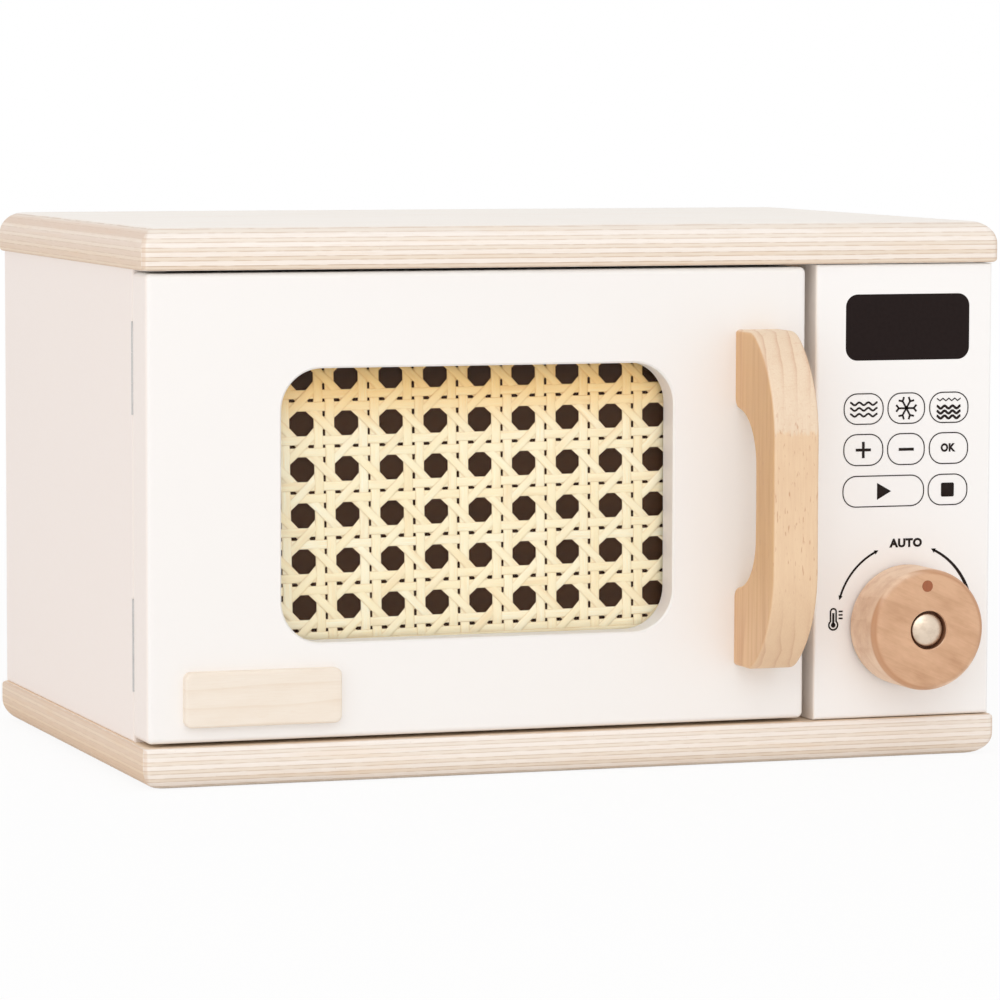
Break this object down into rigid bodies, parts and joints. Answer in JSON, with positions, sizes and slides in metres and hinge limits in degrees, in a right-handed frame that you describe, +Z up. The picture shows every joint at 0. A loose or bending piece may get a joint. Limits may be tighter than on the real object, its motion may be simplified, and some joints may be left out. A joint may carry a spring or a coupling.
{
  "type": "toy microwave",
  "caption": "Wooden toy microwave: painted box between plywood boards, hinged door with a woven cane window and bow handle, control panel with a turning dial, turntable inside.",
  "frame": {"origin": "middle of the base board's underside", "axes": "+X to the right as the user faces the door, +Y to the back, +Z up"},
  "size_m": [0.3036, 0.2344, 0.184],
  "materials": {
    "white_paint": "satin paint on board",
    "door_paint": "satin paint on board",
    "plywood_painted": "thin white paint on plywood, plies showing on the edges",
    "beech": "clear oiled",
    "dial_wood": "clear oiled",
    "plaque_wood": "bare, sanded",
    "cane": "natural rattan cane",
    "dark_board": "matt dark stain",
    "acrylic": "clear polished sheet",
    "display_black": "satin black",
    "pointer_wood": "stained brown plug, clear oiled",
    "nylon": "matt",
    "bolt_steel": "satin, reflects the dial's wood",
    "screw_steel": "zinc plated",
    "hinge_steel": "zinc plated",
    "magnet_steel": "nickel plated"
  },
  "bodies": {
    "cabinet": {"base_board": "plywood_painted", "top_board": "plywood_painted", "left_side": "white_paint", "right_side": "white_paint", "divider": "white_paint", "back_panel": "white_paint", "control_fascia": "door_paint", "display_panel": "display_black", "base_screws": "screw_steel", "top_dowels": "beech", "fascia_dowels": "beech", "back_screws": "screw_steel", "upper_hinge_side_leaf": "hinge_steel", "lower_hinge_side_leaf": "hinge_steel", "hinge_pins": "hinge_steel", "hinge_side_screws": "screw_steel", "door_magnet": "magnet_steel", "knob_bolt": "bolt_steel", "knob_washer": "nylon", "knob_back_washer": "screw_steel", "knob_nut": "screw_steel", "turntable_glide": "nylon", "turntable_screw": "screw_steel"},
    "door": {"door_panel": "door_paint", "window_pane": "acrylic", "cane_panel": "cane", "window_backing": "dark_board", "backing_screws": "screw_steel", "handle": "beech", "handle_screws": "screw_steel", "door_plaque": "plaque_wood", "upper_hinge_door_leaf": "hinge_steel", "lower_hinge_door_leaf": "hinge_steel", "hinge_door_screws": "screw_steel", "strike_screw": "screw_steel"},
    "dial": {"control_knob": "dial_wood", "pointer_dot": "pointer_wood"},
    "turntable": {"turntable_plate": "beech"}
  },
  "joints": [
    {"name": "door_hinge", "type": "hinge", "parent": "cabinet", "child": "door", "pos_m": [-0.1496, -0.08165, 0.092], "axis": [0, 0, -1], "range_deg": [0, 110]},
    {"name": "dial_turn", "type": "hinge", "parent": "cabinet", "child": "dial", "pos_m": [0.11827, -0.1098, 0.0462], "axis": [0, 1, 0], "continuous": true},
    {"name": "turntable_turn", "type": "hinge", "parent": "cabinet", "child": "turntable", "pos_m": [-0.03175, 0.00665, 0.021], "axis": [0, 0, 1], "continuous": true}
  ]
}
